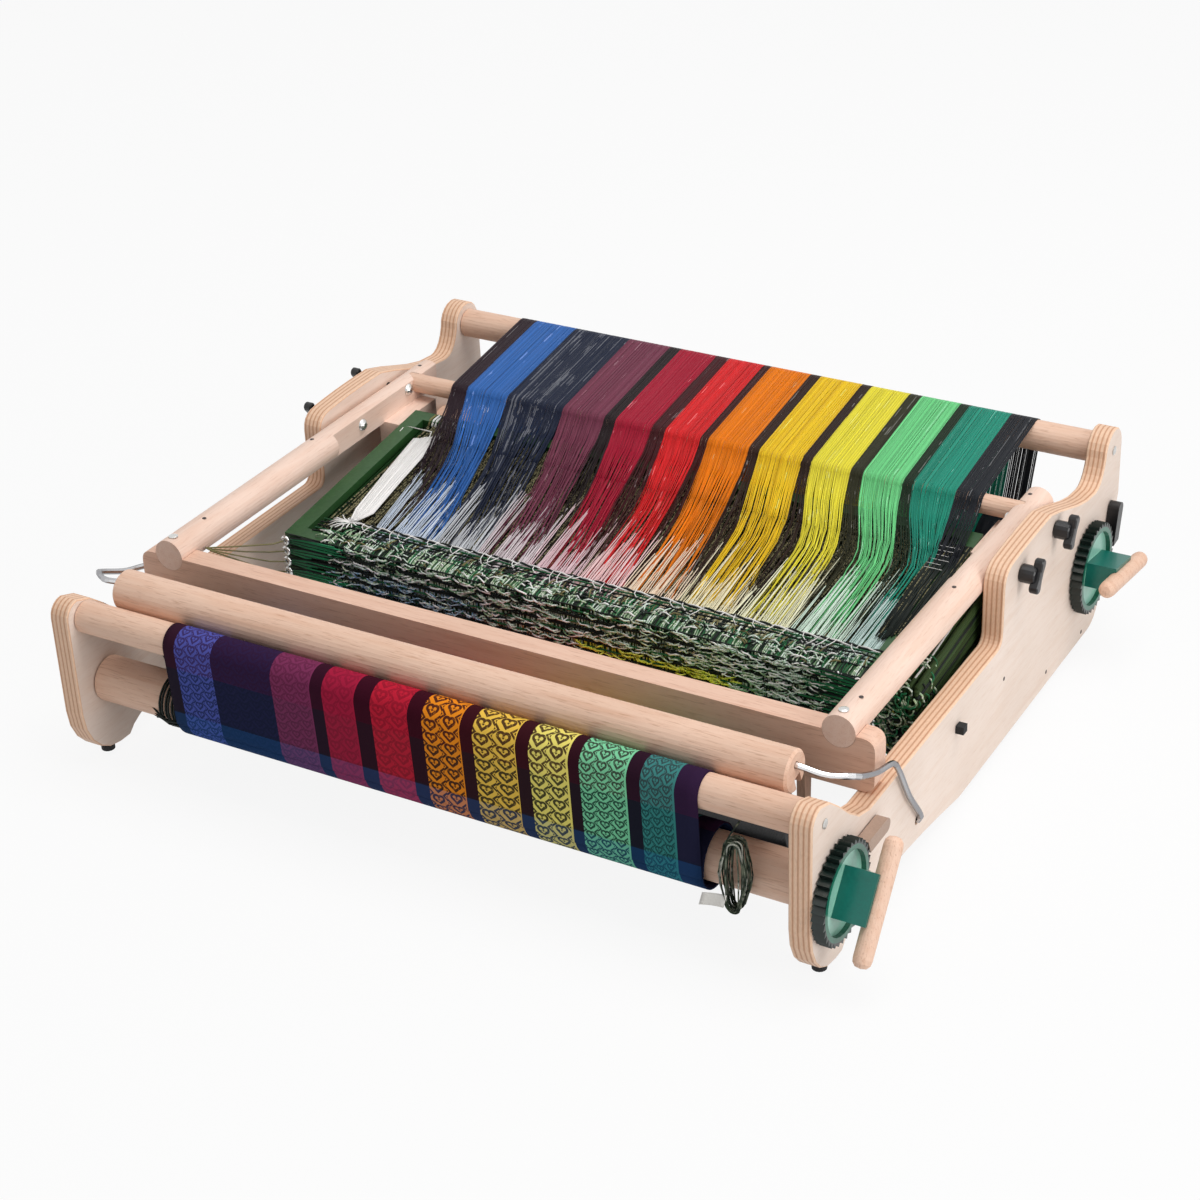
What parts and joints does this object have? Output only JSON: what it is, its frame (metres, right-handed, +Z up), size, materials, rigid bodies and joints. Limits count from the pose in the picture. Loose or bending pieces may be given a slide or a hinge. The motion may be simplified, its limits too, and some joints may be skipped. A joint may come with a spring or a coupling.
{
  "type": "table loom",
  "caption": "Folding table loom, folded flat: ply side panels, fold-down castle with stacked shafts, beater on bent wire arms, rollers with ratchet wheels, and a striped warp and cloth.",
  "frame": {"origin": "middle of the whole loom's bounding box, on the underside of its feet", "axes": "+X along the beams towards the handles and ratchet wheels, +Y from the cloth roller at the front to the warp roller at the back, +Z up"},
  "size_m": [0.7592, 0.652, 0.19],
  "materials": {
    "birch_ply": "satin lacquer, laminations showing on the edges",
    "beech": "satin lacquer",
    "steel": "bright",
    "black_plastic": "satin",
    "foot_rubber": "matt",
    "teal_plastic": "moulded, slight gloss",
    "pawl_plastic": "satin",
    "green_stick": "satin",
    "heddle_yarn": "twisted white polyester",
    "reed_steel": "dark, with bound edges",
    "cloth": "plain and patterned weave in bands of colour",
    "warp": "cotton threads in bands of colour",
    "spare_thread": "dark green and grey thread"
  },
  "bodies": {
    "frame": {"side_panel_right": "birch_ply", "side_panel_left": "birch_ply", "front_beam": "beech", "back_beam": "beech", "beam_screw_front_right": "steel", "beam_screw_front_left": "steel", "beam_screw_back_right": "steel", "beam_screw_back_left": "steel", "base_board": "birch_ply", "foot_front_left": "foot_rubber", "foot_front_right": "foot_rubber", "foot_back_left": "foot_rubber", "foot_back_right": "foot_rubber", "arm_stop_left": "foot_rubber", "arm_stop_right": "foot_rubber", "woven_cloth": "cloth", "warp_back_span": "warp", "warp_front_span": "warp", "yarn_hank": "spare_thread"},
    "castle": {"castle_post_right": "beech", "castle_post_left": "beech", "castle_board": "beech", "castle_rear_dowel": "beech", "post_screw_right": "steel", "post_screw_left": "steel", "pivot_bolt_right": "steel", "pivot_bolt_left": "steel", "post_dome_screw_right": "steel", "post_dome_screw_left": "steel", "lever_axle": "steel"},
    "beater": {"beater_rail": "beech", "reed": "reed_steel", "beater_arm_right": "steel", "beater_arm_left": "steel"},
    "cloth_beam": {"cloth_roller": "beech", "cloth_on_roller": "cloth", "cloth_ratchet_wheel": "teal_plastic", "cloth_roller_handle": "beech"},
    "warp_beam": {"warp_roller": "beech", "warp_on_roller": "warp", "warp_ratchet_wheel": "teal_plastic", "warp_roller_handle": "beech"},
    "front_pawl": {"cloth_pawl": "pawl_plastic"},
    "back_pawl": {"warp_pawl": "black_plastic"},
    "pivot_wing_right": {"pivot_knob_right": "black_plastic"},
    "pivot_wing_left": {"pivot_knob_left": "black_plastic"},
    "lock_wing_right": {"lock_knob_right": "black_plastic"},
    "lock_wing_left": {"lock_knob_left": "black_plastic"},
    "lever_1": {"shaft_lever_1": "beech"},
    "lever_2": {"shaft_lever_2": "beech"},
    "lever_3": {"shaft_lever_3": "beech"},
    "lever_4": {"shaft_lever_4": "beech"},
    "shaft_1": {"shaft_frame_1": "green_stick", "heddle_set_1": "heddle_yarn"},
    "shaft_2": {"shaft_frame_2": "green_stick", "heddle_set_2": "heddle_yarn"},
    "shaft_3": {"shaft_frame_3": "green_stick", "heddle_set_3": "heddle_yarn"},
    "shaft_4": {"shaft_frame_4": "green_stick", "heddle_set_4": "heddle_yarn"}
  },
  "joints": [
    {"name": "castle_fold", "type": "hinge", "parent": "frame", "child": "castle", "pos_m": [-0.01235, 0.07999, 0.157], "axis": [-1, 0, 0], "range_deg": [0, 90], "deforming": ["warp_back_span", "warp_front_span"]},
    {"name": "beater_swing", "type": "hinge", "parent": "frame", "child": "beater", "pos_m": [-0.01235, -0.12801, 0.038], "axis": [-1, 0, 0], "range_deg": [0, 27]},
    {"name": "cloth_roller_turn", "type": "hinge", "parent": "frame", "child": "cloth_beam", "pos_m": [-0.01235, -0.28401, 0.073], "axis": [1, 0, 0], "continuous": true},
    {"name": "warp_roller_turn", "type": "hinge", "parent": "frame", "child": "warp_beam", "pos_m": [-0.01235, 0.24499, 0.081], "axis": [1, 0, 0], "continuous": true},
    {"name": "cloth_pawl_lift", "type": "hinge", "parent": "frame", "child": "front_pawl", "pos_m": [0.34265, -0.213, 0.089], "axis": [-1, 0, 0], "range_deg": [0, 30]},
    {"name": "warp_pawl_lift", "type": "hinge", "parent": "frame", "child": "back_pawl", "pos_m": [0.34265, 0.302, 0.114], "axis": [1, 0, 0], "range_deg": [0, 30], "stiffness_Nm_per_rad": 0.004, "springref_deg": -22.92},
    {"name": "pivot_knob_right_turn", "type": "hinge", "parent": "frame", "child": "pivot_wing_right", "pos_m": [0.34565, 0.07999, 0.157], "axis": [1, 0, 0], "continuous": true},
    {"name": "pivot_knob_left_turn", "type": "hinge", "parent": "frame", "child": "pivot_wing_left", "pos_m": [-0.37035, 0.07999, 0.157], "axis": [-1, 0, 0], "continuous": true},
    {"name": "lock_knob_right_turn", "type": "hinge", "parent": "frame", "child": "lock_wing_right", "pos_m": [0.34565, 0.15899, 0.16], "axis": [1, 0, 0], "continuous": true},
    {"name": "lock_knob_left_turn", "type": "hinge", "parent": "frame", "child": "lock_wing_left", "pos_m": [-0.37035, 0.15899, 0.16], "axis": [-1, 0, 0], "continuous": true},
    {"name": "lever_1_swing", "type": "hinge", "parent": "castle", "child": "lever_1", "pos_m": [-0.27535, -0.19401, 0.117], "axis": [1, 0, 0], "range_deg": [0, 40]},
    {"name": "lever_2_swing", "type": "hinge", "parent": "castle", "child": "lever_2", "pos_m": [0.25065, -0.19401, 0.117], "axis": [1, 0, 0], "range_deg": [0, 40]},
    {"name": "lever_3_swing", "type": "hinge", "parent": "castle", "child": "lever_3", "pos_m": [-0.29435, -0.19401, 0.117], "axis": [1, 0, 0], "range_deg": [0, 40]},
    {"name": "lever_4_swing", "type": "hinge", "parent": "castle", "child": "lever_4", "pos_m": [0.26965, -0.19401, 0.117], "axis": [1, 0, 0], "range_deg": [0, 40]},
    {"name": "shaft_1_lift", "type": "slide", "parent": "castle", "child": "shaft_1", "axis": [0, -0.9925, -0.1219], "range_m": [0, 0.025]},
    {"name": "shaft_2_lift", "type": "slide", "parent": "castle", "child": "shaft_2", "axis": [0, -0.9925, -0.1219], "range_m": [0, 0.025]},
    {"name": "shaft_3_lift", "type": "slide", "parent": "castle", "child": "shaft_3", "axis": [0, -0.9925, -0.1219], "range_m": [0, 0.025]},
    {"name": "shaft_4_lift", "type": "slide", "parent": "castle", "child": "shaft_4", "axis": [0, -0.9925, -0.1219], "range_m": [0, 0.025]}
  ],
  "couplings": [
    {"joint": "beater_swing", "follows": "castle_fold", "ratio": 0.3},
    {"joint": "lever_1_swing", "follows": "shaft_1_lift", "rad_per_m": 27.925},
    {"joint": "lever_2_swing", "follows": "shaft_2_lift", "rad_per_m": 27.925},
    {"joint": "lever_3_swing", "follows": "shaft_3_lift", "rad_per_m": 27.925},
    {"joint": "lever_4_swing", "follows": "shaft_4_lift", "rad_per_m": 27.925}
  ]
}
